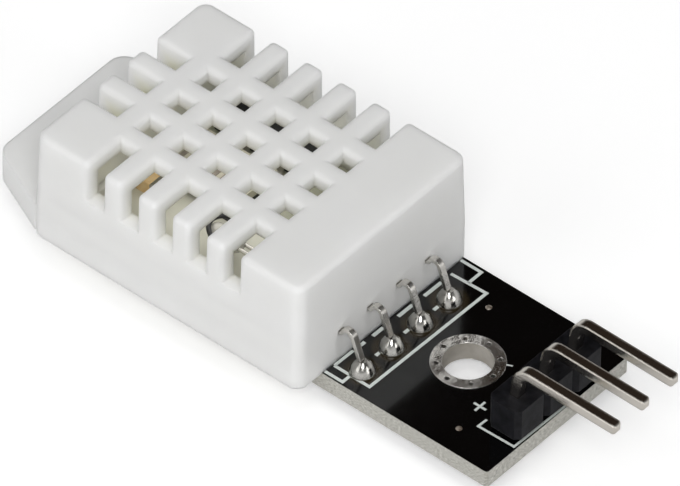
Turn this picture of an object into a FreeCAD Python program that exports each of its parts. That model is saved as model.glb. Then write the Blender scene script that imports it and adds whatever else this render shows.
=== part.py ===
import FreeCAD, Part
import math
import os
import types

import Sketcher

# Temperature and humidity sensor module, in millimetres.
# Origin: centre of the board's mounting hole, on the board's underside.
# +X runs along the board to the header pins, +Y across it, +Z up through the sensor.

SIZES = {
    # module board
    "board_length": 28.0,
    "board_width": 12.5,
    "board_thick": 1.2,
    "board_corner": 0.2,
    "board_shift": 0.1,
    "hole_to_end": 6.57,
    # mounting hole, its lands and the ring of small vias
    "hole_radius": 1.5,
    "copper": 0.05,
    "ring_width": 0.7,
    "via_margin": 0.34,
    "via_radius": 0.15,
    "via_count": 8,
    # plated holes and solder
    "pitch": 2.54,
    "lead_pad_radius": 0.82,
    "lead_bore_gap": 0.17,
    "pin_pad_radius": 0.9,
    "pin_bore_gap": 0.05,
    "solder_edge": 0.03,
    "solder_height": 0.8,
    "solder_neck": 0.02,
    "solder_under": 0.6,
    # sensor housing
    "sensor_face": 5.65,
    "sensor_side": 0.7,
    "lead_count": 4,
    "housing_length": 20.0,
    "housing_width": 15.1,
    "housing_height": 7.7,
    "seam_rise": 0.55,
    "wall": 1.1,
    "base_floor": 0.8,
    "cover_top": 1.05,
    "end_block": 2.75,
    "side_round": 0.75,
    "edge_round": 0.33,
    "draft": 1.5,
    "lip_height": 0.9,
    "lip_thick": 0.4,
    "slip": 0.05,
    # mounting tab at the housing's far end
    "tab_length": 4.45,
    "tab_thick": 2.0,
    "tab_shoulder": 0.3,
    "tab_tip": 10.4,
    "tab_round": 1.1,
    "tab_hole": 1.5,
    "tab_hole_inset": 2.5,
    # grille
    "slot_first": 5.2,
    "slot_count": 5,
    "slot_width": 1.2,
    "slot_drop": 2.8,
    "web_pitch": 2.54,
    "web_width": 1.4,
    "notch_length": 2.6,
    "notch_gap": 1.455,
    "notch_depth": 1.8,
    # leads of the sensor
    "lead_thick": 0.25,
    "lead_width": 0.4,
    "lead_height": 2.15,
    "lead_reach": 1.62,
    "lead_rise": 1.0,
    "lead_rise_run": 0.65,
    "lead_land": 0.5,
    "lead_tail": 0.45,
    "lead_inner": 2.9,
    "lead_bend": 0.28,
    "lead_crown": 0.4,
    # board inside the sensor
    "inner_gap": 0.3,
    "inner_thick": 0.8,
    "post_radius": 0.8,
    "post_inset": 2.4,
    "post_side": 1.3,
    "element_inset": 8.05,
    "element_end": 0.45,
    "element_chip_gap": 0.5,
    "element_bead_gap": 1.3,
    "element_thick": 0.6,
    "element_lift": 0.5,
    "support_width": 0.6,
    "comb_count": 9,
    "comb_width": 0.3,
    "comb_thick": 0.05,
    "comb_margin": 0.5,
    "chip_end": 1.05,
    "chip_edge": 1.5,
    "chip_length": 6.4,
    "chip_width": 2.0,
    "chip_thick": 1.2,
    "chip_lift": 0.15,
    "leg_pitch": 1.27,
    "leg_count": 4,
    "leg_width": 0.4,
    "leg_reach": 0.5,
    "leg_thick": 0.15,
    "bead_inset": 6.65,
    "bead_edge": 1.8,
    "bead_radius": 0.6,
    "bead_length": 1.3,
    "bead_lift": 1.1,
    "wire_radius": 0.13,
    "wire_spread": 0.5,
    "wire_run": 2.4,
    "wire_bend": 0.5,
    "capacitor_end_gap": 0.15,
    "capacitor_gap": 0.15,
    "capacitor_length": 2.0,
    "capacitor_width": 1.2,
    "capacitor_thick": 0.9,
    "capacitor_end": 0.4,
    "resistor_inset": 4.15,
    "resistor_length": 1.6,
    "resistor_width": 0.8,
    "resistor_thick": 0.45,
    "resistor_end": 0.3,
    "resistor_count": 3,
    "resistor_gap": 1.5,
    # header
    "header_inset": 1.15,
    "header_side": 0.35,
    "header_count": 3,
    "block_width": 2.3,
    "block_height": 2.6,
    "block_foot": 0.35,
    "block_foot_width": 1.3,
    "block_chamfer": 0.32,
    "pin_square": 0.64,
    "pin_rise": 4.65,
    "pin_lean": 0.32,
    "pin_reach": 7.4,
    "pin_droop": 0.08,
    "pin_bend": 0.85,
    "pin_tail": 1.0,
    "pin_point": 0.24,
}

doc = FreeCAD.newDocument("sensor_module")
sheet = doc.addObject("Spreadsheet::Sheet", "Sizes")
for row, (name, number) in enumerate(SIZES.items(), start=1):
    sheet.set("A%d" % row, name)
    sheet.set("B%d" % row, str(number))
    sheet.setAlias("B%d" % row, name)
doc.recompute()


class Length:
    # A size, or a sum of sizes: its number and the sheet rule that gives it.
    def __init__(self, rule, number):
        self.rule = rule
        self.number = number

    def join(self, sign, other, number):
        return Length("(%s %s %s)" % (self.rule, sign, other.rule), number)

    def __add__(self, other):
        other = length(other)
        return self.join("+", other, self.number + other.number)

    def __sub__(self, other):
        other = length(other)
        return self.join("-", other, self.number - other.number)

    def __mul__(self, other):
        other = length(other)
        return self.join("*", other, self.number * other.number)

    def __truediv__(self, other):
        other = length(other)
        return self.join("/", other, self.number / other.number)

    def __neg__(self):
        return Length("(0 - %s)" % self.rule, -self.number)


def length(thing):
    return thing if isinstance(thing, Length) else Length("(%.9f)" % thing, float(thing))


def half_diagonal(wide, thick):
    # From the middle of a bar's section to its corner.
    rule = "(hypot(%s; %s) / 2)" % (wide.rule, thick.rule)
    return Length(rule, math.hypot(wide.number, thick.number) / 2)


s = types.SimpleNamespace()
for name in SIZES:
    setattr(s, name, Length("Sizes." + name, float(sheet.get(name))))


def bind(obj, **rules):
    for prop, rule in rules.items():
        obj.setExpression(prop, length(rule).rule)


def place(obj, x=0, y=0, z=0):
    for axis, rule in (("x", x), ("y", y), ("z", z)):
        obj.setExpression(".Placement.Base." + axis, length(rule).rule + " * 1 mm")


def box(name, x, y, z, long, wide, high):
    # A block from its least corner.
    solid = doc.addObject("Part::Box", name)
    bind(solid, Length=long, Width=wide, Height=high)
    place(solid, x, y, z)
    return solid


def group(label, members):
    # Separate solids of one kind in one piece.
    whole = doc.addObject("Part::Compound", label)
    whole.Label = label
    whole.Links = members
    return whole


def body_named(label):
    body = doc.addObject("PartDesign::Body", label)
    body.Label = label
    body.AllowCompound = True
    return body


def sketch_on(body, name, role="XY_Plane", height=0):
    sketch = body.newObject("Sketcher::SketchObject", name)
    plane = [f for f in body.Origin.OriginFeatures if f.Role == role][0]
    sketch.AttachmentSupport = [(plane, "")]
    sketch.MapMode = "FlatFace"
    sketch.setExpression(".AttachmentOffset.Base.z", length(height).rule + " * 1 mm")
    return sketch


def hold(sketch, index, end, x, y):
    # Holds one point of the sketch at its rule in X and in Y.
    for kind, rule in (("DistanceX", length(x)), ("DistanceY", length(y))):
        at = sketch.addConstraint(Sketcher.Constraint(kind, -1, 1, index, end, rule.number))
        sketch.setExpression("Constraints[%d]" % at, rule.rule + " * 1 mm")


def outline(sketch, corners):
    # A closed run of straight edges through corners given as rules.
    first = sketch.GeometryCount
    points = [FreeCAD.Vector(length(x).number, length(y).number, 0) for x, y in corners]
    for index, point in enumerate(points):
        after = points[(index + 1) % len(points)]
        sketch.addGeometry(Part.LineSegment(point, after), False)
    for index in range(len(points)):
        after = first + (index + 1) % len(points)
        sketch.addConstraint(Sketcher.Constraint("Coincident", first + index, 2, after, 1))
    for index, (x, y) in enumerate(corners):
        hold(sketch, first + index, 1, x, y)


def rectangle(sketch, x0, x1, y0, y1):
    outline(sketch, [(x0, y0), (x1, y0), (x1, y1), (x0, y1)])


def circle(sketch, x, y, radius):
    radius = length(radius)
    centre = FreeCAD.Vector(length(x).number, length(y).number, 0)
    ring = Part.Circle(centre, FreeCAD.Vector(0, 0, 1), radius.number)
    index = sketch.addGeometry(ring, False)
    hold(sketch, index, 3, x, y)
    at = sketch.addConstraint(Sketcher.Constraint("Radius", index, radius.number))
    sketch.setExpression("Constraints[%d]" % at, radius.rule + " * 1 mm")


def pad(body, sketch, name, depth, both_ways=False):
    feature = body.newObject("PartDesign::Pad", name)
    feature.Profile = sketch
    bind(feature, Length=depth)
    feature.Midplane = both_ways
    doc.recompute()
    return feature


def pocket(body, sketch, name, depth):
    # Cuts from the sketch upwards, and has to take something away.
    before = body.Shape.Volume
    feature = body.newObject("PartDesign::Pocket", name)
    feature.Profile = sketch
    feature.Reversed = True
    bind(feature, Length=depth)
    doc.recompute()
    if body.Shape.Volume >= before:
        raise RuntimeError(name + " cuts nothing")
    return feature


def round_edges(body, base, name, radius, wanted):
    names = []
    for index, edge in enumerate(base.Shape.Edges, start=1):
        if wanted(edge.BoundBox):
            names.append("Edge%d" % index)
    feature = body.newObject("PartDesign::Fillet", name)
    feature.Base = (base, names)
    bind(feature, Radius=radius)
    doc.recompute()
    return feature


def upright(bound):
    return bound.XLength < 0.001 and bound.YLength < 0.001


def strip(label, points, bends, thick, wide, y):
    # A bar of square corners, bent in the XZ plane along points with a radius at each turn.
    half = thick.number / 2
    sides = {1: [], -1: []}
    path = [FreeCAD.Vector(px, pz, 0) for px, pz in points]
    for side in sides:
        edges = []
        heading = (path[1] - path[0]).normalize()
        normal = FreeCAD.Vector(-heading.y, heading.x, 0)
        last = path[0] + normal * half * side
        for index in range(1, len(path)):
            if index == len(path) - 1:
                edges.append(Part.LineSegment(last, path[-1] + normal * half * side))
                break
            onward = (path[index + 1] - path[index]).normalize()
            turn = math.atan2(heading.x * onward.y - heading.y * onward.x, heading.dot(onward))
            radius = bends[index - 1]
            reach = radius * math.tan(abs(turn) / 2)
            swing = 1 if turn > 0 else -1
            centre = path[index] - heading * reach + normal * radius * swing
            next_normal = FreeCAD.Vector(-onward.y, onward.x, 0)
            own = radius - half * side * swing
            start = centre - normal * swing * own
            end = centre - next_normal * swing * own
            middle = centre + (path[index] - centre).normalize() * own
            edges.append(Part.LineSegment(last, start))
            edges.append(Part.Arc(start, middle, end))
            last = end
            heading = onward
            normal = next_normal
        sides[side] = edges
    body = body_named(label)
    sketch = sketch_on(body, label + "_path", "XZ_Plane")
    left = sides[1]
    right = sides[-1]
    caps = [Part.LineSegment(left[-1].EndPoint, right[-1].EndPoint),
            Part.LineSegment(right[0].StartPoint, left[0].StartPoint)]
    for edge in left + caps + right:
        sketch.addGeometry(edge, False)
    pad(body, sketch, label + "_bar", wide, True)
    place(body, 0, y, 0)
    return body


# Places that several pieces share.
board_top = s.board_thick
board_y0 = s.board_shift - s.board_width / 2
board_y1 = s.board_shift + s.board_width / 2
face_x = -s.sensor_face
side_y = -s.sensor_side
lead_x = s.lead_reach - s.sensor_face
pin_x = s.hole_to_end - s.header_inset
back_x = face_x - s.housing_length
lead_z = board_top + s.lead_height
base_height = s.lead_height + s.seam_rise
front_wall = s.wall + s.slip + s.lip_thick
back_wall = s.end_block + s.slip + s.lip_thick
half_width = s.housing_width / 2
inner_z = lead_z + s.lead_thick / 2
inner_top = inner_z + s.inner_thick
inner_x0 = back_x + back_wall + s.inner_gap
inner_x1 = face_x - front_wall - s.inner_gap
inner_half = half_width - front_wall - s.inner_gap
lead_corner = half_diagonal(s.lead_width, s.lead_thick)
pin_corner = half_diagonal(s.pin_square, s.pin_square)
lead_bore = lead_corner + s.lead_bore_gap
pin_bore = pin_corner + s.pin_bore_gap
ring_radius = s.hole_radius + s.ring_width
via_circle = s.hole_radius + s.via_margin
lead_ys = []
for index in range(int(s.lead_count.number)):
    lead_ys.append(side_y + s.pitch * (index - (s.lead_count.number - 1) / 2))
pin_ys = []
for index in range(int(s.header_count.number)):
    pin_ys.append(s.header_side + s.pitch * (index - (s.header_count.number - 1) / 2))
vias = []
for index in range(int(s.via_count.number)):
    angle = 2 * math.pi * index / s.via_count.number
    vias.append((via_circle * math.cos(angle), via_circle * math.sin(angle)))

# Module board: a flat laminate with its corners eased, drilled for every plated hole.
board = body_named("circuit_board")
sketch = sketch_on(board, "board_outline")
rectangle(sketch, s.hole_to_end - s.board_length, s.hole_to_end, board_y0, board_y1)
slab = pad(board, sketch, "board_slab", s.board_thick)
round_edges(board, slab, "board_corners", s.board_corner, upright)
sketch = sketch_on(board, "board_drills")
circle(sketch, 0, 0, s.hole_radius)
for x, y in vias:
    circle(sketch, x, y, s.via_radius + s.copper)
for y in lead_ys:
    circle(sketch, lead_x, y, lead_bore + s.copper)
for y in pin_ys:
    circle(sketch, pin_x, y, pin_bore + s.copper)
pocket(board, sketch, "board_holes", s.board_thick)


def plating(label, lined, bare, land, rim):
    # Copper lands on both faces of the board, joined by the plated walls of the lined holes.
    body = body_named(label)
    sketch = sketch_on(body, label + "_walls")
    for x, y, bore in lined:
        circle(sketch, x, y, bore)
        circle(sketch, x, y, bore + s.copper)
    pad(body, sketch, label + "_barrels", s.board_thick)
    for face, height in (("top", board_top), ("under", -s.copper)):
        sketch = sketch_on(body, label + "_" + face, "XY_Plane", height)
        for x, y in rim:
            circle(sketch, x, y, land)
        for x, y, bore in lined + bare:
            circle(sketch, x, y, bore)
        pad(body, sketch, label + "_" + face + "_land", s.copper)
    return body


# Lands of the mounting hole, joined by a ring of small vias; the hole itself is bare.
plating("mounting_ring", [(x, y, s.via_radius) for x, y in vias], [(0, 0, s.hole_radius)],
        ring_radius, [(0, 0)])

# Plated holes of the sensor's leads and of the header's pins.
plating("lead_pads", [(lead_x, y, lead_bore) for y in lead_ys], [],
        s.lead_pad_radius, [(lead_x, y) for y in lead_ys])
plating("pin_pads", [(pin_x, y, pin_bore) for y in pin_ys], [],
        s.pin_pad_radius, [(pin_x, y) for y in pin_ys])

# Sensor leads: flat strips that leave the housing, rise over a crown and drop into the board.
leads = []
for index, y in enumerate(lead_ys, start=1):
    crown_x = face_x + s.lead_rise_run
    points = [(face_x - s.lead_inner, lead_z),
              (face_x + s.lead_bend / 2, lead_z),
              (crown_x, lead_z + s.lead_rise),
              (lead_x, board_top + s.lead_land),
              (lead_x, -s.lead_tail)]
    route = [(length(px).number, length(pz).number) for px, pz in points]
    bends = [s.lead_bend.number, s.lead_crown.number, s.lead_bend.number]
    leads.append(strip("sensor_lead_%d" % index, route, bends, s.lead_thick, s.lead_width, y))

# Header pins: square bars that rise from the board and turn out over its end.
pins = []
for index, y in enumerate(pin_ys, start=1):
    points = [(pin_x, -s.pin_tail),
              (pin_x, board_top + s.block_height + s.slip * 2),
              (pin_x + s.pin_lean, board_top + s.pin_rise),
              (pin_x + s.pin_reach, board_top + s.pin_rise - s.pin_droop)]
    route = [(length(px).number, length(pz).number) for px, pz in points]
    bends = [s.pin_bend.number, s.pin_bend.number]
    pins.append(strip("header_pin_%d" % index, route, bends, s.pin_square, s.pin_square, y))
    bar = pins[-1].Tip
    names = []
    for number, face in enumerate(bar.Shape.Faces, start=1):
        bound = face.BoundBox
        tip = bound.XMin > (pin_x + s.pin_reach).number - 0.1
        foot = bound.ZMax < -s.pin_tail.number + 0.1
        if tip or foot:
            names.append("Face%d" % number)
    point = pins[-1].newObject("PartDesign::Fillet", "header_pin_%d_points" % index)
    point.Base = (bar, names)
    bind(point, Radius=s.pin_point)
    doc.recompute()


def joints(label, x, ys, bore, land, corner, high, tools):
    # One solder joint at each hole, shaped round the lead that it holds.
    top = (board_top + s.copper).number
    under = -s.copper.number
    r = (land - s.solder_edge).number
    neck = (corner + s.solder_neck).number
    deep = s.solder_under.number
    solids = []
    for y, tool in zip(ys, tools):
        def at(px, pz):
            return FreeCAD.Vector(x.number + px, y.number, pz)
        edges = []
        if high > 0:
            edges.append(Part.LineSegment(at(0, top + high), at(neck, top + high)).toShape())
            edges.append(Part.Arc(at(neck, top + high),
                                  at(neck + (r - neck) * 0.62, top + high * 0.55),
                                  at(r, top)).toShape())
            edges.append(Part.LineSegment(at(r, top), at(bore.number, top)).toShape())
        else:
            edges.append(Part.LineSegment(at(0, top), at(bore.number, top)).toShape())
        edges.append(Part.LineSegment(at(bore.number, top), at(bore.number, under)).toShape())
        edges.append(Part.LineSegment(at(bore.number, under), at(r, under)).toShape())
        edges.append(Part.Arc(at(r, under),
                              at(neck + (r - neck) * 0.38, under - deep * 0.42),
                              at(neck, under - deep)).toShape())
        edges.append(Part.LineSegment(at(neck, under - deep), at(0, under - deep)).toShape())
        top_z = top + high if high > 0 else top
        edges.append(Part.LineSegment(at(0, under - deep), at(0, top_z)).toShape())
        face = Part.Face(Part.Wire(Part.__sortEdges__(edges)))
        axis = FreeCAD.Vector(x.number, y.number, 0)
        whole = face.revolve(axis, FreeCAD.Vector(0, 0, 1), 360)
        solids.append(whole.cut(tool.Shape))
    piece = doc.addObject("Part::Feature", label)
    piece.Label = label
    piece.Shape = Part.makeCompound(solids)
    return piece


# Solder at the leads and at the pins; the header's block covers the top of the pins' holes.
joints("lead_joints", lead_x, lead_ys, lead_bore, s.lead_pad_radius, lead_corner,
       s.solder_height.number, leads)
joints("pin_joints", pin_x, pin_ys, pin_bore, s.pin_pad_radius, pin_corner, 0.0, pins)

# Header block: one eight-sided moulding per pin, in a row, standing on a narrow foot.
block = body_named("header_block")
foot_z = board_top + s.copper
block_x0 = pin_x - s.block_width / 2
block_x1 = pin_x + s.block_width / 2
right = []
left = []
for y in pin_ys:
    low = y - s.pitch / 2
    high = y + s.pitch / 2
    if y is pin_ys[0]:
        right.append((block_x1 - s.block_chamfer, low))
        left.append((block_x0 + s.block_chamfer, low))
    right += [(block_x1, low + s.block_chamfer), (block_x1, high - s.block_chamfer),
              (block_x1 - s.block_chamfer, high)]
    left += [(block_x0, low + s.block_chamfer), (block_x0, high - s.block_chamfer),
             (block_x0 + s.block_chamfer, high)]
sketch = sketch_on(block, "block_outline", "XY_Plane", foot_z + s.block_foot)
outline(sketch, right + left[::-1])
pad(block, sketch, "block_row", s.block_height - s.copper - s.block_foot)
sketch = sketch_on(block, "block_foot_outline", "XY_Plane", foot_z)
rectangle(sketch, pin_x - s.block_foot_width / 2, pin_x + s.block_foot_width / 2,
          pin_ys[0] - s.pitch / 2 + s.block_chamfer, pin_ys[-1] + s.pitch / 2 - s.block_chamfer)
pad(block, sketch, "block_feet", s.block_foot)
sketch = sketch_on(block, "block_pin_holes", "XY_Plane", foot_z)
half = s.pin_square / 2
for y in pin_ys:
    rectangle(sketch, pin_x - half, pin_x + half, y - half, y + half)
pocket(block, sketch, "block_bores", s.block_height)

# Housing base: a tray with a lip for the cover, posts for the inner board and a screw tab.
base = body_named("housing_base")
sketch = sketch_on(base, "base_outline", "XY_Plane", board_top)
rectangle(sketch, back_x, face_x, side_y - half_width, side_y + half_width)
tray = pad(base, sketch, "base_tray", base_height)
round_edges(base, tray, "base_corners", s.side_round, upright)
sketch = sketch_on(base, "tab_outline", "XY_Plane", board_top)
tab_x = back_x - s.tab_length
tab_half = half_width - s.tab_shoulder
outline(sketch, [(back_x + s.wall, side_y - tab_half + s.wall),
                 (back_x + s.wall, side_y + tab_half - s.wall),
                 (back_x, side_y + tab_half),
                 (tab_x, side_y + s.tab_tip / 2),
                 (tab_x, side_y - s.tab_tip / 2),
                 (back_x, side_y - tab_half)])
tab = pad(base, sketch, "base_tab", s.tab_thick)
limit = tab_x.number + 0.01
round_edges(base, tab, "tab_corners", s.tab_round,
            lambda bound: upright(bound) and bound.XMax < limit)
seam_z = board_top + base_height
sketch = sketch_on(base, "lip_outline", "XY_Plane", seam_z)
lip_x0 = back_x + s.end_block + s.slip
lip_x1 = face_x - s.wall - s.slip
lip_half = half_width - s.wall - s.slip
rectangle(sketch, lip_x0, lip_x1, side_y - lip_half, side_y + lip_half)
pad(base, sketch, "base_lip", s.lip_height)
sketch = sketch_on(base, "tray_outline", "XY_Plane", board_top + s.base_floor)
tray_half = half_width - front_wall
rectangle(sketch, back_x + back_wall, face_x - front_wall, side_y - tray_half, side_y + tray_half)
pocket(base, sketch, "base_hollow", base_height + s.lip_height)
sketch = sketch_on(base, "post_circles", "XY_Plane", board_top + s.base_floor)
post_half = inner_half - s.post_side
for x in (inner_x0 + s.post_inset, inner_x1 - s.post_inset):
    for y in (side_y - post_half, side_y + post_half):
        circle(sketch, x, y, s.post_radius)
pad(base, sketch, "base_posts", s.lead_height + s.lead_thick / 2 - s.base_floor)
window_z = lead_z - s.lead_thick / 2 - s.slip
sketch = sketch_on(base, "lead_windows", "XY_Plane", window_z)
window_half = s.lead_width / 2 + s.slip
for y in lead_ys:
    rectangle(sketch, face_x - front_wall - s.slip, face_x + s.slip, y - window_half, y + window_half)
pocket(base, sketch, "base_windows", s.lead_thick + s.slip * 2)
sketch = sketch_on(base, "tab_bore_circle", "XY_Plane", board_top)
circle(sketch, tab_x + s.tab_hole_inset, side_y, s.tab_hole)
pocket(base, sketch, "tab_bore", s.tab_thick)

# Grille cover: a drafted hood, slotted across its top and down both sides.
cover = body_named("grille_cover")
cover_high = s.housing_height - base_height
top_z = board_top + s.housing_height
sketch = sketch_on(cover, "cover_outline", "XY_Plane", seam_z)
rectangle(sketch, back_x, face_x, side_y - half_width, side_y + half_width)
hood = pad(cover, sketch, "cover_hood", cover_high)
hood.setExpression("TaperAngle", "-(%s)" % s.draft.rule)
doc.recompute()
steep = s.side_round.number
round_edges(cover, hood, "cover_corners", s.side_round,
            lambda bound: bound.ZLength > steep)
sketch = sketch_on(cover, "hollow_outline", "XY_Plane", seam_z)
hollow_half = half_width - s.wall
rectangle(sketch, back_x + s.end_block, face_x - s.wall, side_y - hollow_half, side_y + hollow_half)
pocket(cover, sketch, "cover_hollow", cover_high - s.cover_top)


slot_last = s.housing_length - s.notch_length - s.notch_gap - s.slot_width / 2


def slots(name, depth, spans):
    # One row of cuts at the first slot, repeated along the cover.
    sketch = sketch_on(cover, name + "_outline", "XY_Plane", top_z - depth)
    first = face_x - s.slot_first
    for y0, y1 in spans:
        rectangle(sketch, first - s.slot_width / 2, first + s.slot_width / 2, y0, y1)
    cut = pocket(cover, sketch, name, depth + s.slip)
    row = cover.newObject("PartDesign::LinearPattern", name + "_row")
    row.Originals = [cut]
    row.Direction = ([f for f in cover.Origin.OriginFeatures if f.Role == "X_Axis"][0], [""])
    row.Reversed = True
    bind(row, Length=slot_last - s.slot_first, Occurrences=s.slot_count)
    cover.Tip = row
    doc.recompute()


open_side = s.web_pitch * 1.5 + s.web_width / 2
hole_half = (s.web_pitch - s.web_width) / 2
slots("grille_ends", s.slot_drop, [(side_y - half_width - s.slip, side_y - open_side),
                                   (side_y + open_side, side_y + half_width + s.slip)])
slots("grille_holes", s.cover_top + s.slip,
      [(side_y + s.web_pitch * k - hole_half, side_y + s.web_pitch * k + hole_half)
       for k in (-1, 0, 1)])
sketch = sketch_on(cover, "notch_outline", "XY_Plane", top_z - s.notch_depth)
for k in (-1, 0, 1):
    rectangle(sketch, back_x - s.slip, back_x + s.notch_length,
              side_y + s.web_pitch * k - hole_half, side_y + s.web_pitch * k + hole_half)
pocket(cover, sketch, "cover_notches", s.notch_depth + s.slip)
level = top_z.number - 0.001
skin = s.wall.number / 2
near_wall = (side_y - half_width).number + skin
far_wall = (side_y + half_width).number - skin
back_wall_skin = back_x.number + skin


def eased(bound):
    # Every edge of the top face, and the upright edges of the ribs' ends and of the notches.
    if bound.ZMin > level:
        return True
    if bound.ZLength < s.notch_depth.number / 2:
        return False
    if bound.XLength < 0.001:
        return bound.YMin < near_wall or bound.YMax > far_wall
    return bound.YLength < 0.001 and bound.XMax < back_wall_skin


round_edges(cover, cover.Tip, "cover_edges", s.edge_round, eased)

# Board inside the sensor, resting on the base's four posts.
inner = body_named("inner_board")
sketch = sketch_on(inner, "inner_outline", "XY_Plane", inner_z)
rectangle(sketch, inner_x0, inner_x1, side_y - inner_half, side_y + inner_half)
pad(inner, sketch, "inner_slab", s.inner_thick)

# Solder under the inner board, one fillet round the end of each lead.
fillets = []
for index, y in enumerate(lead_ys):
    low = lead_z - s.lead_thick
    block_of_tin = box("inner_tin_%d" % index, face_x - s.lead_inner - s.slip, y - s.lead_width, low,
                       s.lead_inner - front_wall - s.inner_gap, s.lead_width * 2, inner_z - low)
    shaped = doc.addObject("Part::Cut", "inner_fillet_%d" % index)
    shaped.Base = block_of_tin
    shaped.Tool = leads[index]
    fillets.append(shaped)
group("inner_joints", fillets)

# Humidity element: a ceramic plate on two bars, with a comb of electrodes printed on it.
# It fills the room between the chip's legs and the thermistor bead.
chip_y = side_y + inner_half - s.chip_edge
bead_y = side_y - inner_half + s.bead_edge
element_x0 = inner_x0 + s.element_end
element_x1 = inner_x1 - s.element_inset
element_y0 = bead_y + s.bead_radius + s.element_bead_gap
element_y1 = chip_y - s.chip_width / 2 - s.leg_reach - s.element_chip_gap
element_length = element_x1 - element_x0
element_width = element_y1 - element_y0
element_z = inner_top + s.element_lift
bars = []
for index, x in enumerate((element_x0, element_x1 - s.support_width)):
    bars.append(box("support_%d" % index, x, element_y0, inner_top,
                    s.support_width, element_width, s.element_lift))
group("element_supports", bars)
box("humidity_element", element_x0, element_y0, element_z,
    element_length, element_width, s.element_thick)
comb_z = element_z + s.element_thick
comb_x0 = element_x0 + s.comb_margin
comb_y0 = element_y0 + s.comb_margin
comb_long = element_length - s.comb_margin * 2
comb_wide = element_width - s.comb_margin * 2
step = (comb_long - s.comb_width) / (s.comb_count - 1)
teeth = []
for side in (0, 1):
    rail_y = comb_y0 + (comb_wide - s.comb_width) * side
    teeth.append(box("comb_rail_%d" % side, comb_x0, rail_y, comb_z,
                     comb_long, s.comb_width, s.comb_thick))
for index in range(int(s.comb_count.number)):
    side = index % 2
    tooth_y = comb_y0 + (s.comb_width - s.slip) * (1 - side) + s.comb_width * 2 * side
    teeth.append(box("comb_tooth_%d" % index, comb_x0 + step * index, tooth_y, comb_z,
                     s.comb_width, comb_wide - s.comb_width * 3 + s.slip, s.comb_thick))
combs = []
for side in (0, 1):
    comb = doc.addObject("Part::MultiFuse", "comb_%d" % side)
    comb.Shapes = [teeth[side]] + [tooth for index, tooth in enumerate(teeth[2:]) if index % 2 == side]
    combs.append(comb)
group("element_electrodes", combs)

# Controller chip, clear of the board on bent legs along its two long sides.
chip_x0 = inner_x0 + s.chip_end
chip_z = inner_top + s.chip_lift
box("controller_chip", chip_x0, chip_y - s.chip_width / 2, chip_z,
    s.chip_length, s.chip_width, s.chip_thick)
legs = []
leg_rise = s.chip_lift + s.chip_thick / 2
leg_first = chip_x0 + (s.chip_length - s.leg_pitch * (s.leg_count - 1)) / 2
for index in range(int(s.leg_count.number)):
    leg_x = leg_first + s.leg_pitch * index - s.leg_width / 2
    for side in (0, 1):
        wing_y = chip_y - s.chip_width / 2 - s.leg_reach / 2 if side == 0 else chip_y + s.chip_width / 2
        post_y = wing_y if side == 0 else wing_y + s.leg_reach / 2 - s.leg_thick
        toe_y = wing_y - s.leg_reach / 2 if side == 0 else post_y
        name = "leg_%d_%d" % (index, side)
        wing = box(name + "_wing", leg_x, wing_y, inner_top + leg_rise - s.leg_thick,
                   s.leg_width, s.leg_reach / 2, s.leg_thick)
        shin = box(name + "_shin", leg_x, post_y, inner_top,
                   s.leg_width, s.leg_thick, leg_rise)
        toe = box(name + "_toe", leg_x, toe_y, inner_top,
                  s.leg_width, s.leg_reach / 2 + s.leg_thick, s.leg_thick)
        leg = doc.addObject("Part::MultiFuse", name)
        leg.Shapes = [wing, shin, toe]
        legs.append(leg)
group("chip_legs", legs)

# Thermistor: a glossy bead held above the board on two wires.
bead_x = inner_x1 - s.bead_inset
bead_z = inner_top + s.bead_lift
bead = body_named("thermistor_bead")
sketch = sketch_on(bead, "bead_section", "XZ_Plane")
half_long = s.bead_length.number / 2
r = s.bead_radius.number
sketch.addGeometry(Part.LineSegment(FreeCAD.Vector(-half_long, r, 0), FreeCAD.Vector(half_long, r, 0)))
sketch.addGeometry(Part.Arc(FreeCAD.Vector(half_long, r, 0),
                            FreeCAD.Vector(half_long + r * math.sqrt(0.5), r * math.sqrt(0.5), 0),
                            FreeCAD.Vector(half_long + r, 0, 0)))
sketch.addGeometry(Part.LineSegment(FreeCAD.Vector(half_long + r, 0, 0),
                                    FreeCAD.Vector(-half_long - r, 0, 0)))
sketch.addGeometry(Part.Arc(FreeCAD.Vector(-half_long - r, 0, 0),
                            FreeCAD.Vector(-half_long - r * math.sqrt(0.5), r * math.sqrt(0.5), 0),
                            FreeCAD.Vector(-half_long, r, 0)))
turned = bead.newObject("PartDesign::Revolution", "bead_turned")
turned.Profile = sketch
turned.ReferenceAxis = (sketch, ["H_Axis"])
turned.Angle = 360
doc.recompute()
place(bead, bead_x, bead_y, bead_z)
doc.recompute()

# Thermistor wires: from inside the bead's end out, over and down to the inner board.
wires = []
for side in (-1, 1):
    y = (bead_y + s.wire_spread / 2 * side).number
    start = FreeCAD.Vector(bead_x.number + half_long + r * 0.8, y, bead_z.number)
    corner = FreeCAD.Vector(bead_x.number + half_long + s.wire_run.number, y, bead_z.number)
    end = FreeCAD.Vector(corner.x, y, inner_top.number)
    bend = s.wire_bend.number
    before = corner - FreeCAD.Vector(bend, 0, 0)
    after = corner - FreeCAD.Vector(0, 0, bend)
    middle = corner - FreeCAD.Vector(bend, 0, bend) * (1 - math.sqrt(0.5))
    path = Part.Wire([Part.LineSegment(start, before).toShape(),
                      Part.Arc(before, middle, after).toShape(),
                      Part.LineSegment(after, end).toShape()])
    ring = Part.Circle(start, FreeCAD.Vector(1, 0, 0), s.wire_radius.number).toShape()
    wire = path.makePipeShell([Part.Wire(ring)], True, False)
    wires.append(wire.cut(bead.Shape))
piece = doc.addObject("Part::Feature", "thermistor_wires")
piece.Label = "thermistor_wires"
piece.Shape = Part.makeCompound(wires)


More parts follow.
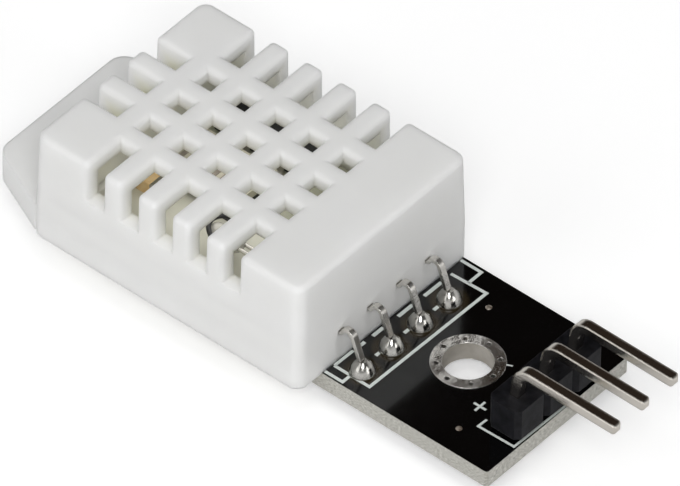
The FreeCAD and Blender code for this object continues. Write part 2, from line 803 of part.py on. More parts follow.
def surface_part(name, x, y, long, wide, high, end):
    # A small block part lying along X: its body, and a metal cap on each end.
    middle = box(name + "_middle", x + end, y - wide / 2, inner_top, long - end * 2, wide, high)
    caps = []
    for number, at in enumerate((x, x + long - end)):
        caps.append(box("%s_cap_%d" % (name, number), at, y - wide / 2, inner_top, end, wide, high))
    return middle, caps


# Supply capacitor and three resistors on the inner board.
capacitor_y = element_y0 - s.capacitor_gap - s.capacitor_width / 2
middle, caps = surface_part("capacitor", inner_x0 + s.capacitor_end_gap, capacitor_y,
                            s.capacitor_length, s.capacitor_width, s.capacitor_thick,
                            s.capacitor_end)
group("capacitor_body", [middle])
group("capacitor_ends", caps)
middles = []
ends = []
for index in range(int(s.resistor_count.number)):
    across = s.resistor_gap * (index - (s.resistor_count.number - 1) / 2)
    middle, caps = surface_part("resistor_%d" % index, inner_x1 - s.resistor_inset, side_y + across,
                                s.resistor_length, s.resistor_width, s.resistor_thick,
                                s.resistor_end)
    middles.append(middle)
    ends += caps
group("resistor_bodies", middles)
group("resistor_ends", ends)

PIECES = (["circuit_board", "mounting_ring", "lead_pads", "pin_pads", "lead_joints", "pin_joints"]
          + [lead.Label for lead in leads] + [pin.Label for pin in pins]
          + ["header_block", "housing_base", "grille_cover", "inner_board", "inner_joints",
             "element_supports", "humidity_element", "element_electrodes", "controller_chip",
             "chip_legs", "thermistor_bead", "thermistor_wires", "capacitor_body",
             "capacitor_ends", "resistor_bodies", "resistor_ends"])

doc.recompute()
for obj in doc.Objects:
    if "Invalid" in obj.State or "Error" in obj.State:
        raise RuntimeError("%s failed: %s" % (obj.Name, obj.State))
pieces = []
for label in PIECES:
    found = doc.getObjectsByLabel(label)
    if len(found) != 1:
        raise RuntimeError("%s is not one piece" % label)
    shape = found[0].Shape
    if shape.isNull() or not shape.isValid() or not shape.Solids:
        raise RuntimeError("%s has no sound shape" % label)
    pieces.append((label, shape))
os.makedirs("parts", exist_ok=True)
for label, shape in pieces:
    shape.exportStep("parts/%s.step" % label)
    bound = shape.BoundBox
    print("%-20s %2d solids %9.3f mm3  X %7.2f %7.2f  Y %6.2f %6.2f  Z %5.2f %5.2f"
          % (label, len(shape.Solids), shape.Volume, bound.XMin, bound.XMax,
             bound.YMin, bound.YMax, bound.ZMin, bound.ZMax))
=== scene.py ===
import math

import bmesh
import bpy
from mathutils import Matrix, Vector


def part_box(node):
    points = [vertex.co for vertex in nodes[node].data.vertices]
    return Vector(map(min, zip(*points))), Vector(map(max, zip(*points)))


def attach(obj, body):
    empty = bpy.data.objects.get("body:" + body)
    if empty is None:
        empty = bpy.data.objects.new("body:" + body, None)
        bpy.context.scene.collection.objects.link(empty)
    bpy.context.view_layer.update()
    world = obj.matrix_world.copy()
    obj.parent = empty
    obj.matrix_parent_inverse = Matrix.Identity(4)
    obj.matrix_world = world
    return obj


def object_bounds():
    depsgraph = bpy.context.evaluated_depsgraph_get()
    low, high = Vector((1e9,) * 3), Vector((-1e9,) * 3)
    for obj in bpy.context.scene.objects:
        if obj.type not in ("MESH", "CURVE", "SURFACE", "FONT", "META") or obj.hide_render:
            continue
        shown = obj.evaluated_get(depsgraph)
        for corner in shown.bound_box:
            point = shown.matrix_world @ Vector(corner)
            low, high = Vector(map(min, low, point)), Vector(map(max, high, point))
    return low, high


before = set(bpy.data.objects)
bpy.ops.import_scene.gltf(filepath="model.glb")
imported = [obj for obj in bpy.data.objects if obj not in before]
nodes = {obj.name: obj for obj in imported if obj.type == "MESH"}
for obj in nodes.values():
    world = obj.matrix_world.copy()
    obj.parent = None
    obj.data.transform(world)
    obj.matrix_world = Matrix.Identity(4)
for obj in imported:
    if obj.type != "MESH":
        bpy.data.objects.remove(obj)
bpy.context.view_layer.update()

# Sensor housing: a tray and the grilled hood on it, moulded in white ABS with a fine
# spark-eroded texture. The hood slips over the tray's lip, and both are left unpainted.
MM = 0.001


def add(tree, kind, settings=None, inputs=None):
    # A node with its settings, and each input linked to a socket or set to a value.
    made = tree.nodes.new(kind)
    for name, value in (settings or {}).items():
        setattr(made, name, value)
    for name, value in (inputs or {}).items():
        if isinstance(value, bpy.types.NodeSocket):
            tree.links.new(value, made.inputs[name])
        else:
            made.inputs[name].default_value = value
    return made


def maths(tree, operation, *values):
    # The result of a sum on sockets or numbers.
    made = add(tree, "ShaderNodeMath", {"operation": operation}, dict(enumerate(values)))
    return made.outputs[0]


def vector_maths(tree, operation, *values):
    # The same for vectors.
    made = add(tree, "ShaderNodeVectorMath", {"operation": operation}, dict(enumerate(values)))
    return made.outputs["Vector"]


def axes(tree, vector):
    # The three coordinates of a vector, by name.
    return add(tree, "ShaderNodeSeparateXYZ", inputs={"Vector": vector}).outputs


def ramp(tree, value, start, end, low=0.0, high=1.0):
    # A smooth step from low to high while the value goes from start to end.
    step = add(tree, "ShaderNodeMapRange", {"interpolation_type": "SMOOTHSTEP"},
               {"Value": value, "From Min": start, "From Max": end, "To Min": low, "To Max": high})
    return step.outputs["Result"]


def mixed(tree, factor, first, second, blend="MIX"):
    # A colour between two: the first where the factor is 0. A colour Mix node takes them
    # at sockets 6 and 7, and gives the result at socket 2.
    mix = add(tree, "ShaderNodeMix", {"data_type": "RGBA", "blend_type": blend},
              {0: factor, 6: first, 7: second})
    return mix.outputs[2]


def effect(name, inputs, outputs):
    # An empty effect group with its sockets.
    group = bpy.data.node_groups.new(name, "ShaderNodeTree")
    for label, kind, value in inputs:
        socket = group.interface.new_socket(label, in_out="INPUT", socket_type=kind)
        socket.default_value = value
    for label, kind in outputs:
        group.interface.new_socket(label, in_out="OUTPUT", socket_type=kind)
    ins = group.nodes.new("NodeGroupInput").outputs
    return group, ins, group.nodes.new("NodeGroupOutput").inputs


# Soft clouding between two shades.
clouding, ins, outs = effect(
    "clouding",
    [("Vector", "NodeSocketVector", (0, 0, 0)), ("Scale", "NodeSocketFloat", 1000.0),
     ("Dark", "NodeSocketColor", (0, 0, 0, 1)), ("Light", "NodeSocketColor", (1, 1, 1, 1))],
    [("Colour", "NodeSocketColor")])
noise = add(clouding, "ShaderNodeTexNoise",
            inputs={"Vector": ins["Vector"], "Scale": ins["Scale"],
                    "Detail": 4.0, "Roughness": 0.6})
spread = add(clouding, "ShaderNodeMapRange",
             inputs={"Value": noise.outputs["Fac"], "From Min": 0.32, "From Max": 0.68})
clouding.links.new(mixed(clouding, spread.outputs["Result"], ins["Dark"], ins["Light"]),
                   outs["Colour"])

# Handling marks: where a surface is duller and where it shines.
handling, ins, outs = effect(
    "handling",
    [("Vector", "NodeSocketVector", (0, 0, 0)), ("Scale", "NodeSocketFloat", 300.0),
     ("Smooth", "NodeSocketFloat", 0.3), ("Dull", "NodeSocketFloat", 0.6)],
    [("Roughness", "NodeSocketFloat")])
noise = add(handling, "ShaderNodeTexNoise",
            inputs={"Vector": ins["Vector"], "Scale": ins["Scale"],
                    "Detail": 5.0, "Roughness": 0.65})
spread = add(handling, "ShaderNodeMapRange",
             inputs={"Value": noise.outputs["Fac"], "From Min": 0.3, "From Max": 0.7,
                     "To Min": ins["Smooth"], "To Max": ins["Dull"]})
handling.links.new(spread.outputs["Result"], outs["Roughness"])

# Mould or plating texture: a fine height, with a slower swell under it.
texture, ins, outs = effect(
    "texture",
    [("Vector", "NodeSocketVector", (0, 0, 0)), ("Fine", "NodeSocketFloat", 8000.0),
     ("Swell", "NodeSocketFloat", 600.0), ("Swell Share", "NodeSocketFloat", 0.3)],
    [("Height", "NodeSocketFloat")])
fine = add(texture, "ShaderNodeTexNoise",
           inputs={"Vector": ins["Vector"], "Scale": ins["Fine"],
                   "Detail": 3.0, "Roughness": 0.7})
swell = add(texture, "ShaderNodeTexNoise",
            inputs={"Vector": ins["Vector"], "Scale": ins["Swell"], "Detail": 1.0})
join = add(texture, "ShaderNodeMix", {"data_type": "FLOAT"},
           {0: ins["Swell Share"], 2: fine.outputs["Fac"], 3: swell.outputs["Fac"]})
texture.links.new(join.outputs[0], outs["Height"])


def placed(tree, group, coordinates, **values):
    # An effect placed in a material with its own values.
    inputs = {name.replace("_", " "): value for name, value in values.items()}
    return add(tree, "ShaderNodeGroup", {"node_tree": group}, {"Vector": coordinates, **inputs})


def finish(name, dark, light, cloud, smooth, dull, fine, depth, swell=600.0, share=0.3,
           stretch=(1, 1, 1), soft=0.0, **constants):
    # A finish of two close shades, clouded at one scale, between a smooth and a dull
    # roughness. Its texture is depth millimetres high, with fine and swell as its scales.
    # Where soft is given in millimetres, edges are eased by that much.
    material = bpy.data.materials.new(name)
    material.use_nodes = True
    tree = material.node_tree
    shader = tree.nodes["Principled BSDF"]
    for label, value in constants.items():
        shader.inputs[label.replace("_", " ")].default_value = value
    where = add(tree, "ShaderNodeTexCoord")
    turned = add(tree, "ShaderNodeMapping",
                 inputs={"Vector": where.outputs["Object"], "Scale": stretch})
    at = turned.outputs["Vector"]
    shade = placed(tree, clouding, at, Scale=cloud, Dark=(*dark, 1), Light=(*light, 1))
    marks = placed(tree, handling, at, Smooth=smooth, Dull=dull)
    relief = placed(tree, texture, at, Fine=fine, Swell=swell, Swell_Share=share)
    bump = add(tree, "ShaderNodeBump",
               inputs={"Height": relief.outputs["Height"], "Strength": 1.0,
                       "Distance": depth * MM})
    tree.links.new(shade.outputs["Colour"], shader.inputs["Base Color"])
    tree.links.new(marks.outputs["Roughness"], shader.inputs["Roughness"])
    tree.links.new(bump.outputs["Normal"], shader.inputs["Normal"])
    if soft:
        eased = add(tree, "ShaderNodeBevel", {"samples": 6}, {"Radius": soft * MM})
        tree.links.new(eased.outputs["Normal"], bump.inputs["Normal"])
    return material


def inside(material):
    # The material's nodes, and the place on the object that they read.
    tree = material.node_tree
    return tree, tree.nodes["Texture Coordinate"].outputs["Object"]


def paint_over(material, factor, colour, blend="MIX"):
    # Lays a colour over the finish where the factor is 1.
    tree = material.node_tree
    skin = tree.nodes["Principled BSDF"].inputs["Base Color"]
    tree.links.new(mixed(tree, factor, skin.links[0].from_socket, colour, blend), skin)


def dress(material, *names):
    # Gives the finish to the named CAD pieces.
    for name in names:
        for slot in nodes[name].material_slots:
            slot.material = material


# The real seam can't be seen. So within SEAM_BAND of it the edges aren't eased, and the
# light under the plastic's skin fades in from there to SEAM_REACH.
SEAM_BAND = 0.3
SEAM_REACH = 1.0
# Painted shade and through-light: surfaces set back from the hood's outer skin, such as the
# grille's inner walls, are painted a darker cream in place of the light that comes through the
# plastic into them.
RECESS_TINT_START = 0.35
RECESS_TINT_FULL = 1.6
PAINTED_RECESS_TINT = (0.99, 0.98, 0.88, 1)
white_abs = finish("white_abs", (0.90, 0.90, 0.885), (0.93, 0.93, 0.915), cloud=120.0,
                   smooth=0.42, dull=0.6, fine=9000.0, depth=0.006, soft=0.22,
                   Specular_IOR_Level=0.4, Subsurface_Weight=1.0,
                   Subsurface_Radius=(1.0, 1.0, 1.0), Subsurface_Scale=1.1 * MM)
tree, where = inside(white_abs)
low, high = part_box("grille_cover")
middle = (low + high) / 2
from_seam = maths(tree, "ABSOLUTE", maths(tree, "SUBTRACT", axes(tree, where)["Z"], low.z))
at_seam = maths(tree, "LESS_THAN", from_seam, SEAM_BAND * MM)
plain = add(tree, "ShaderNodeNewGeometry")
# A vector Mix node takes its two vectors at sockets 4 and 5, and gives the result at 1.
facing = add(tree, "ShaderNodeMix", {"data_type": "VECTOR"},
             {0: at_seam, 4: tree.nodes["Bevel"].outputs["Normal"], 5: plain.outputs["Normal"]})
tree.links.new(facing.outputs[1], tree.nodes["Bump"].inputs["Normal"])
tree.links.new(ramp(tree, from_seam, SEAM_BAND * MM, SEAM_REACH * MM),
               tree.nodes["Principled BSDF"].inputs["Subsurface Weight"])
from_middle = vector_maths(tree, "SUBTRACT", where, (middle.x, middle.y, 0))
to_skin = vector_maths(tree, "SUBTRACT", (high.x - middle.x, high.y - middle.y, high.z),
                       vector_maths(tree, "ABSOLUTE", from_middle))
margins = axes(tree, to_skin)
nearest = maths(tree, "MINIMUM", maths(tree, "MINIMUM", margins["X"], margins["Y"]),
                margins["Z"])
# The cream here is painted shade and painted through-light, deeper the further a surface lies
# inside the outer skin.
paint_over(white_abs, ramp(tree, nearest, RECESS_TINT_START * MM, RECESS_TINT_FULL * MM), PAINTED_RECESS_TINT, "MULTIPLY")
dress(white_abs, "housing_base", "grille_cover")

# Inner board and its surface parts: an olive laminate, soldered to the leads, with the
# controller on its dull tinned legs, the capacitor and the resistors soldered to it. They
# are seen only through the grille. Beyond BARE_SIDE the board is pale.
BARE_SIDE = -2.4
BARE_SHADE = (0.71, 0.70, 0.60, 1)
olive_mask = finish("olive_mask", (0.33, 0.33, 0.24), (0.43, 0.43, 0.33), cloud=500.0,
                    smooth=0.3, dull=0.5, fine=4000.0, depth=0.004)
tree, where = inside(olive_mask)
paint_over(olive_mask, maths(tree, "LESS_THAN", axes(tree, where)["Y"], BARE_SIDE * MM),
           BARE_SHADE)
dress(olive_mask, "inner_board")
moulded_epoxy = finish("moulded_epoxy", (0.012, 0.012, 0.012), (0.022, 0.022, 0.021),
                       cloud=900.0, smooth=0.45, dull=0.65, fine=9000.0, depth=0.01)
dress(moulded_epoxy, "controller_chip", "element_supports")
black_coating = finish("black_coating", (0.014, 0.013, 0.016), (0.03, 0.028, 0.034),
                       cloud=900.0, smooth=0.35, dull=0.5, fine=5000.0, depth=0.004)
dress(black_coating, "resistor_bodies")
fired_ceramic = finish("fired_ceramic", (0.72, 0.48, 0.22), (0.82, 0.60, 0.32),
                       cloud=1500.0, smooth=0.4, dull=0.6, fine=6000.0, depth=0.006)
dress(fired_ceramic, "capacitor_body")
aged_tin = finish("aged_tin", (0.36, 0.35, 0.30), (0.48, 0.46, 0.40), cloud=900.0,
                  smooth=0.4, dull=0.6, fine=2500.0, depth=0.01, Metallic=0.6)
dress(aged_tin, "chip_legs")

# Humidity element and thermistor: a ceramic plate with printed electrodes, which stands on
# two bars, and a bead dipped in pale glaze on its two tinned wires.
bare_ceramic = finish("bare_ceramic", (0.42, 0.40, 0.31), (0.54, 0.51, 0.41), cloud=700.0,
                      smooth=0.55, dull=0.75, fine=7000.0, depth=0.01)
dress(bare_ceramic, "humidity_element")
printed_metal = finish("printed_metal", (0.30, 0.27, 0.23), (0.42, 0.38, 0.33),
                       cloud=1500.0, smooth=0.4, dull=0.6, fine=7000.0, depth=0.006,
                       Metallic=1.0)
dress(printed_metal, "element_electrodes")
bead_glaze = finish("bead_glaze", (0.50, 0.48, 0.43), (0.62, 0.60, 0.55), cloud=600.0,
                    smooth=0.08, dull=0.16, fine=1500.0, depth=0.01, Coat_Weight=0.6)
dress(bead_glaze, "thermistor_bead")

# Sleeved wire: a thin wire in black sleeving, soldered to the inner board at both ends and
# bowed over the bead's end. It shows as a black arc in one slot of the grille.
SLEEVE_RADIUS = 0.15


def show(name, data, material, smooth):
    # Makes the mesh a piece that rides on the module, in its finish.
    for polygon in data.polygons:
        polygon.use_smooth = smooth
    data.materials.clear()
    data.materials.append(material)
    made = bpy.data.objects.new(name, data)
    bpy.context.scene.collection.objects.link(made)
    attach(made, "root")


black_sleeve = finish("black_sleeve", (0.010, 0.010, 0.011), (0.020, 0.020, 0.021),
                      cloud=900.0, smooth=0.25, dull=0.4, fine=5000.0, depth=0.006)
route = bpy.data.curves.new("bead_loop", "CURVE")
route.dimensions = "3D"
route.bevel_depth = SLEEVE_RADIUS * MM
route.bevel_resolution = 4
route.resolution_u = 10
route.use_fill_caps = True
turns = [(-14.0, -5.65, 4.3), (-14.0, -5.65, 5.2), (-14.4, -5.6, 5.85), (-15.05, -5.2, 6.0),
         (-15.33, -4.65, 6.04), (-15.2, -4.1, 6.05), (-14.8, -3.68, 6.0), (-14.35, -3.5, 5.6),
         (-14.25, -3.4, 4.9), (-14.25, -3.4, 4.3)]
spline = route.splines.new("NURBS")
spline.points.add(len(turns) - 1)
for point, place_mm in zip(spline.points, turns):
    point.co = (*(v * MM for v in place_mm), 1)
spline.order_u = 3
spline.use_endpoint_u = True
drawn = bpy.data.objects.new("bead_loop_route", route)
data = bpy.data.meshes.new_from_object(drawn)
data.name = "bead_loop"
bpy.data.objects.remove(drawn)
show("bead_loop", data, black_sleeve, smooth=True)

# Module board: glass-fibre laminate under a glossy black solder mask, sawn to size, so
# that its grey-tan fibres show along the edges. The mounting hole's wall is tinned.
UPRIGHT_BELOW = 0.5
FIBRE_RUN = 3
SAWN_ROUGHNESS = 0.8
board_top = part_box("circuit_board")[1].z / MM
black_mask = finish("black_mask", (0.0006, 0.0006, 0.0007), (0.0014, 0.0015, 0.0018),
                    cloud=150.0, smooth=0.1, dull=0.17, fine=5000.0, depth=0.002,
                    swell=250.0, share=0.8, Specular_IOR_Level=0.5, Coat_Weight=0.25)
tree, where = inside(black_mask)
spot = axes(tree, where)


def reach(tree, x, y):
    # The distance from an upright axis, for the offsets x and y from it.
    flat = add(tree, "ShaderNodeCombineXYZ", inputs={"X": x, "Y": y})
    return add(tree, "ShaderNodeVectorMath", {"operation": "LENGTH"},
               {0: flat.outputs["Vector"]}).outputs["Value"]


# Brown flux, left in a ring round each of the sensor's four joints.
LEAD_X, FIRST_LEAD_Y, ROW_MIDDLE, PITCH = -4.03, -4.51, -0.7, 2.54
ROW_HALF = PITCH * 2
FLUX_FULL = 0.95
FLUX_END = 1.3
FLUX_BROWN = (0.026, 0.019, 0.009, 1)
from_row = maths(tree, "SUBTRACT", spot["X"], LEAD_X * MM)
along_row = maths(tree, "WRAP", maths(tree, "SUBTRACT", spot["Y"], FIRST_LEAD_Y * MM),
                  PITCH / 2 * MM, -PITCH / 2 * MM)
ring = ramp(tree, reach(tree, from_row, along_row), FLUX_FULL * MM, FLUX_END * MM, 1.0, 0.0)
in_row = maths(tree, "COMPARE", spot["Y"], ROW_MIDDLE * MM, ROW_HALF * MM)
paint_over(black_mask, maths(tree, "MULTIPLY", ring, in_row), FLUX_BROWN)

# Sawn edges, where the laminate's fibres are bare and dull.
normal = tree.nodes["Texture Coordinate"].outputs["Normal"]
level_share = maths(tree, "ABSOLUTE", axes(tree, normal)["Z"])
sawn = maths(tree, "LESS_THAN", level_share, UPRIGHT_BELOW)
run = add(tree, "ShaderNodeMapping", inputs={"Vector": where, "Scale": (1, 1, FIBRE_RUN)})
fibres = placed(tree, clouding, run.outputs["Vector"], Scale=5200.0,
                Dark=(0.26, 0.25, 0.21, 1), Light=(0.76, 0.75, 0.70, 1))
paint_over(black_mask, sawn, fibres.outputs["Colour"])
rough = tree.nodes["Principled BSDF"].inputs["Roughness"]
dulled = add(tree, "ShaderNodeMix", {"data_type": "FLOAT"},
             {0: sawn, 2: rough.links[0].from_socket, 3: SAWN_ROUGHNESS})
tree.links.new(dulled.outputs[0], rough)

# The mounting hole's wall, with what is left of its tin.
HOLE_WALL = 1.6
wall_tin = placed(tree, clouding, where, Scale=700.0,
                  Dark=(0.42, 0.39, 0.34, 1), Light=(0.58, 0.55, 0.50, 1))
lined = maths(tree, "LESS_THAN", reach(tree, spot["X"], spot["Y"]), HOLE_WALL * MM)
paint_over(black_mask, lined, wall_tin.outputs["Colour"])
dress(black_mask, "circuit_board")

# Printed outlines: white ink screened on the mask, round the sensor's leads and round
# the header, with the plus sign that marks the supply pin.
INK_THICK = 0.02
MITRE_LIMIT = 0.3


def printed_line(mesh, points, width):
    # One stroke of ink: an edge as wide as the stroke, drawn along the points and mitred.
    path = [Vector((x, y, board_top)) for x, y in points]
    rim = []
    for index, point in enumerate(path):
        before = (point - path[index - 1]).normalized() if index else None
        after = (path[index + 1] - point).normalized() if index + 1 < len(path) else None
        along = ((before or after) + (after or before)).normalized()
        across = Vector((-along.y, along.x, 0))
        leg = after or before
        half = width / 2 / max(across.dot(Vector((-leg.y, leg.x, 0))), MITRE_LIMIT)
        rim.append((point + across * half, point - across * half))
    pair = [mesh.verts.new(corner) for corner in rim[0]]
    edge = mesh.edges.new(pair)
    for left, right in rim[1:]:
        drawn = bmesh.ops.extrude_edge_only(mesh, edges=[edge])["geom"]
        fresh = [v for v in drawn if isinstance(v, bmesh.types.BMVert)]
        edge = [e for e in drawn
                if isinstance(e, bmesh.types.BMEdge) and set(e.verts) == set(fresh)][0]
        for vert in fresh:
            partner = [e.other_vert(vert) for e in vert.link_edges if e is not edge][0]
            vert.co = left if partner is pair[0] else right
        pair = [v for v in fresh if v.co == left] + [v for v in fresh if v.co == right]


def thicken(mesh):
    # Gives flat strokes the thickness of the ink.
    risen = bmesh.ops.extrude_face_region(mesh, geom=mesh.faces[:])["geom"]
    bmesh.ops.translate(mesh, vec=(0, 0, INK_THICK),
                        verts=[v for v in risen if isinstance(v, bmesh.types.BMVert)])


def show_drawn(name, mesh, material, smooth=False):
    # Turns what was drawn in millimetres into a piece.
    bmesh.ops.scale(mesh, vec=(MM, MM, MM), verts=mesh.verts)
    bmesh.ops.recalc_face_normals(mesh, faces=mesh.faces)
    data = bpy.data.meshes.new(name)
    mesh.to_mesh(data)
    mesh.free()
    show(name, data, material, smooth)


white_ink = finish("white_ink", (0.66, 0.71, 0.68), (0.76, 0.80, 0.77), cloud=2500.0,
                   smooth=0.5, dull=0.7, fine=6000.0, depth=0.006)
# Each stroke's points across the board, and its width.
outlines = {
    "sensor_outline": [
        ([(-5.62, -5.93), (-4.31, -5.93), (-4.31, -5.23)], 0.2),
        ([(-5.62, 6.05), (-4.1, 6.05), (-4.1, 4.9)], 0.2),
        ([(-5.52, -5.23), (-2.9, -5.23), (-2.78, 4.93), (-5.33, 4.82)], 0.2),
        ([(-4.27, -3.07), (-4.26, -2.43)], 0.22),
        ([(-4.23, -0.61), (-4.22, 0.07)], 0.22),
        ([(-4.17, 1.92), (-4.16, 2.54)], 0.22),
        ([(-5.52, -5.2), (-5.49, -3.59)], 0.2),
        ([(-5.46, -3.02), (-5.45, -2.64)], 0.24),
        ([(-5.42, -1.96), (-5.41, -1.05)], 0.24),
        ([(-5.36, 0.2), (-5.35, 1.45)], 0.24),
        ([(-5.31, 2.44), (-5.29, 3.93)], 0.24),
    ],
    "header_outline": [
        ([(3.82, -2.89), (3.79, -3.61), (6.38, -3.55), (6.46, 1.1)], 0.15),
        ([(6.42, -0.97), (6.06, -0.97)], 0.12),
        ([(1.8, 1.22), (2.15, 1.4)], 0.1),
    ],
}
for name, strokes in outlines.items():
    ink = bmesh.new()
    for points, width in strokes:
        printed_line(ink, points, width)
    thicken(ink)
    show_drawn(name, ink, white_ink)

PLUS_REACH = 0.45
PLUS_HALF_STROKE = 0.075
PLUS_PLACE = (2.84, -2.33)
plus = bmesh.new()
bmesh.ops.create_grid(plus, x_segments=3, y_segments=3, size=PLUS_REACH)
for vert in plus.verts:
    for axis in (0, 1):
        if abs(vert.co[axis]) < PLUS_REACH / 2:
            vert.co[axis] = math.copysign(PLUS_HALF_STROKE, vert.co[axis])
corners = [face for face in plus.faces
           if min(map(abs, face.calc_center_median().xy)) > PLUS_HALF_STROKE]
bmesh.ops.delete(plus, geom=corners, context="FACES")
thicken(plus)
bmesh.ops.translate(plus, vec=(*PLUS_PLACE, board_top), verts=plus.verts)
show_drawn("plus_sign", plus, white_ink)

# Closed vias: two small plated holes that the mask bridges, each a low blister with a
# little tin showing through.
TENT_RADIUS = 0.2
TENT_RISE = 0.25
MERGE_WITHIN = 0.001
tent_tin = finish("tent_tin", (0.13, 0.09, 0.06), (0.62, 0.56, 0.48), cloud=5200.0,
                  smooth=0.2, dull=0.4, fine=3000.0, depth=0.02, Metallic=0.6)
for name, x, y in (("tented_via_1", -1.95, 4.15), ("tented_via_2", 3.08, -4.46)):
    tent = bmesh.new()
    bmesh.ops.create_uvsphere(tent, u_segments=24, v_segments=12, radius=TENT_RADIUS)
    bmesh.ops.bisect_plane(tent, geom=tent.verts[:] + tent.edges[:] + tent.faces[:],
                           plane_co=(0, 0, 0), plane_no=(0, 0, -1), clear_outer=True)
    bmesh.ops.remove_doubles(tent, verts=tent.verts, dist=MERGE_WITHIN)
    bmesh.ops.holes_fill(tent, edges=tent.edges)
    bmesh.ops.scale(tent, vec=(1, 1, TENT_RISE), verts=tent.verts)
    bmesh.ops.translate(tent, vec=(x, y, board_top), verts=tent.verts)
    show_drawn(name, tent, tent_tin, smooth=True)

# Mounting ring and pads: copper lands levelled with hot tin, which leaves them bright
# but uneven. The ring is stitched through the board by eight small vias.
bright_tin = finish("bright_tin", (0.78, 0.76, 0.72), (0.95, 0.93, 0.90), cloud=900.0,
                    smooth=0.2, dull=0.38, fine=1500.0, depth=0.5, swell=500.0, share=0.85,
                    soft=0.06, Metallic=1.0)
dress(bright_tin, "mounting_ring", "pin_pads")

# Pads of the sensor's leads: tinned copper lands like the others. Hand soldering left
# them brown with flux on top, and they are clean tin below.
CLEAN_TIN = (0.78, 0.76, 0.72, 1)
stained_land = finish("stained_land", (0.030, 0.023, 0.013), (0.075, 0.062, 0.040),
                      cloud=1800.0, smooth=0.25, dull=0.45, fine=3000.0, depth=0.02)
tree, where = inside(stained_land)
below = maths(tree, "LESS_THAN", axes(tree, where)["Z"], board_top / 2 * MM)
paint_over(stained_land, below, CLEAN_TIN)
tree.links.new(below, tree.nodes["Principled BSDF"].inputs["Metallic"])
dress(stained_land, "lead_pads")

# Solder joints: domes of tin that wetted the pads and drew up the leads, nearly mirror
# bright, with faint flow ripples.
solder = finish("solder", (0.34, 0.33, 0.31), (0.54, 0.53, 0.50), cloud=1200.0, smooth=0.1,
                dull=0.22, fine=2500.0, depth=0.04, swell=1100.0, share=0.7, Metallic=1.0)
dress(solder, "lead_joints", "pin_joints", "inner_joints", "capacitor_ends", "resistor_ends")

# Sensor leads and thermistor wires: stamped or drawn metal, tinned all over, soldered to
# the inner board. The leads drop through the module board.
tinned_strip = finish("tinned_strip", (0.66, 0.64, 0.60), (0.80, 0.78, 0.74), cloud=900.0,
                      smooth=0.18, dull=0.34, fine=2500.0, depth=0.02, soft=0.08,
                      Metallic=1.0)
dress(tinned_strip, "sensor_lead_1", "sensor_lead_2", "sensor_lead_3", "sensor_lead_4",
      "thermistor_wires")

# Header: black nylon moulded round three square pins of nickel-plated brass, bent out
# over the board's end after moulding.
header_nylon = finish("header_nylon", (0.004, 0.004, 0.005), (0.014, 0.014, 0.017),
                      cloud=1600.0, smooth=0.3, dull=0.55, fine=7000.0, depth=0.01,
                      soft=0.08, Specular_IOR_Level=0.12)
dress(header_nylon, "header_block")
nickel = finish("nickel", (0.66, 0.62, 0.56), (0.78, 0.74, 0.68), cloud=700.0, smooth=0.1,
                dull=0.2, fine=3000.0, depth=0.006, stretch=(0.15, 1, 1), soft=0.22,
                Metallic=1.0)
dress(nickel, "header_pin_1", "header_pin_2", "header_pin_3")

# Floor: a plain pale sheet under the pin tails. Only the camera sees it lifted to white,
# so the object gets no more light from it and keeps its shadow on it.
FLOOR_HALF = 3.0
FLOOR_SHADE = (0.86, 0.86, 0.86, 1)
FLOOR_ROUGHNESS = 0.9
FLOOR_LIFT = 0.4
object_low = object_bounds()[0]
ground = bmesh.new()
bmesh.ops.create_grid(ground, x_segments=1, y_segments=1, size=FLOOR_HALF)
bmesh.ops.translate(ground, vec=(0, 0, object_low[2]), verts=ground.verts)
floor_data = bpy.data.meshes.new("floor")
ground.to_mesh(floor_data)
ground.free()
floor = bpy.data.objects.new("floor", floor_data)
bpy.context.scene.collection.objects.link(floor)
pale = bpy.data.materials.new("pale_floor")
pale.use_nodes = True
tree = pale.node_tree
shader = tree.nodes["Principled BSDF"]
shader.inputs["Base Color"].default_value = FLOOR_SHADE
shader.inputs["Roughness"].default_value = FLOOR_ROUGHNESS
rays = add(tree, "ShaderNodeLightPath")
lift = maths(tree, "MULTIPLY", rays.outputs["Is Camera Ray"], FLOOR_LIFT)
glow = add(tree, "ShaderNodeEmission", inputs={"Strength": lift})
both = add(tree, "ShaderNodeAddShader", inputs={0: shader.outputs[0], 1: glow.outputs[0]})
tree.links.new(both.outputs[0], tree.nodes["Material Output"].inputs["Surface"])
floor_data.materials.append(pale)

# Room: an even sky for light. What shines mirrors a dim room with a bright band low
# round it and one dark side, which flat glossy faces mirror.
SKY_SHADE = (0.27, 0.27, 0.27, 1)
BAND_LEVEL, ROOM_LEVEL = 0.9, 0.12
BAND_END, ROOM_START = 0.25, 0.6
DARK_SIDE = (-0.457, 0.552, 0.697)
DARK_START, DARK_FULL = 0.62, 0.88
DARK_SHADE = (0.026, 0.019, 0.014, 1)
sky = bpy.data.worlds.new("sky")
sky.use_nodes = True
tree = sky.node_tree
toward = add(tree, "ShaderNodeTexCoord").outputs["Generated"]
aim = add(tree, "ShaderNodeVectorMath", {"operation": "DOT_PRODUCT"}, {0: toward, 1: DARK_SIDE})
dark = ramp(tree, aim.outputs["Value"], DARK_START, DARK_FULL)
band = ramp(tree, axes(tree, toward)["Z"], BAND_END, ROOM_START, BAND_LEVEL, ROOM_LEVEL)
mirrored = mixed(tree, dark, band, DARK_SHADE)
rays = add(tree, "ShaderNodeLightPath")
backing = tree.nodes["Background"]
backing.inputs["Strength"].default_value = 1.0
tree.links.new(mixed(tree, rays.outputs["Is Glossy Ray"], SKY_SHADE, mirrored),
               backing.inputs["Color"])
bpy.context.scene.world = sky

# Lamps: four soft discs at one distance. They stand at the sensor's long side, at the
# camera's side, above the module and past the header's end.
LAMP_DISTANCE = 0.5


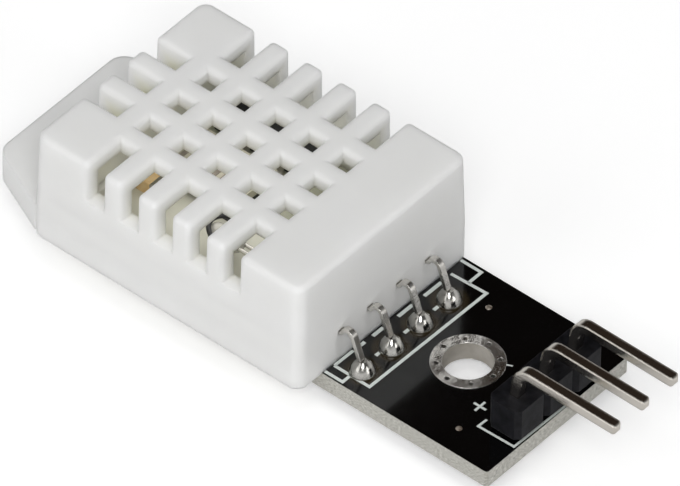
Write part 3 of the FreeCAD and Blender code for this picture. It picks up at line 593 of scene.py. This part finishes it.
def lamp(name, toward, distance, size, power):
    # A disc lamp that stands toward one direction and faces the origin.
    light = bpy.data.lights.new(name, "AREA")
    light.shape = "DISK"
    light.size = size
    light.energy = power
    made = bpy.data.objects.new(name, light)
    toward = Vector(toward).normalized()
    made.location = toward * distance
    made.rotation_euler = toward.to_track_quat("Z", "Y").to_euler()
    bpy.context.scene.collection.objects.link(made)
    return made


lamp("key_lamp", (-0.3, -0.78, 0.56), LAMP_DISTANCE, size=0.34, power=0.47)
lamp("front_lamp", (0.45, -0.55, 0.71), LAMP_DISTANCE, size=0.2, power=0.86)
lamp("top_lamp", (0.05, -0.1, 1.0), LAMP_DISTANCE, size=0.22, power=0.27)
lamp("end_lamp", (0.92, 0.05, 0.38), LAMP_DISTANCE, size=0.2, power=0.26)

# Light that the thin white plastic lets through: a faint disc just under the hood's top,
# which shines down on the inner board.
UNDER_TOP = 1.2
hood_low, hood_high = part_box("grille_cover")
through = lamp("through_the_hood", (0, 0, 1), distance=1.0, size=0.010, power=0.0002)
through.location = ((hood_low.x + hood_high.x) / 2, (hood_low.y + hood_high.y) / 2,
                    hood_high.z - UNDER_TOP * MM)

# Camera: at the photograph's angle, fitted to edges and pins measured there. Its place is
# in millimetres from the mounting hole, and its angles are in degrees.
CAMERA_PLACE = (572.276, -702.783, 891.207)
AZIMUTH, ELEVATION, ROLL = 50.3799, 44.1828, 0.9764
view = bpy.data.cameras.new("camera")
view.sensor_width = 36.0
view.lens = 1184.845
view.shift_x = -0.00103
view.shift_y = 0.00015
view.clip_start = 0.1
view.clip_end = 20.0
camera = bpy.data.objects.new("camera", view)
azimuth, height, roll = (math.radians(angle) for angle in (AZIMUTH, ELEVATION, ROLL))
toward = Vector((math.cos(height) * math.cos(azimuth), -math.cos(height) * math.sin(azimuth),
                 math.sin(height)))
level = Vector((math.sin(azimuth), math.cos(azimuth), 0))
raised = toward.cross(level)
right = math.cos(roll) * level + math.sin(roll) * raised
up = math.cos(roll) * raised - math.sin(roll) * level
turn = Matrix((right, up, toward)).transposed().to_4x4()
camera.matrix_world = Matrix.Translation(Vector(CAMERA_PLACE) * MM) @ turn
bpy.context.scene.collection.objects.link(camera)
bpy.context.scene.camera = camera
bpy.context.scene.view_settings.view_transform = "Standard"
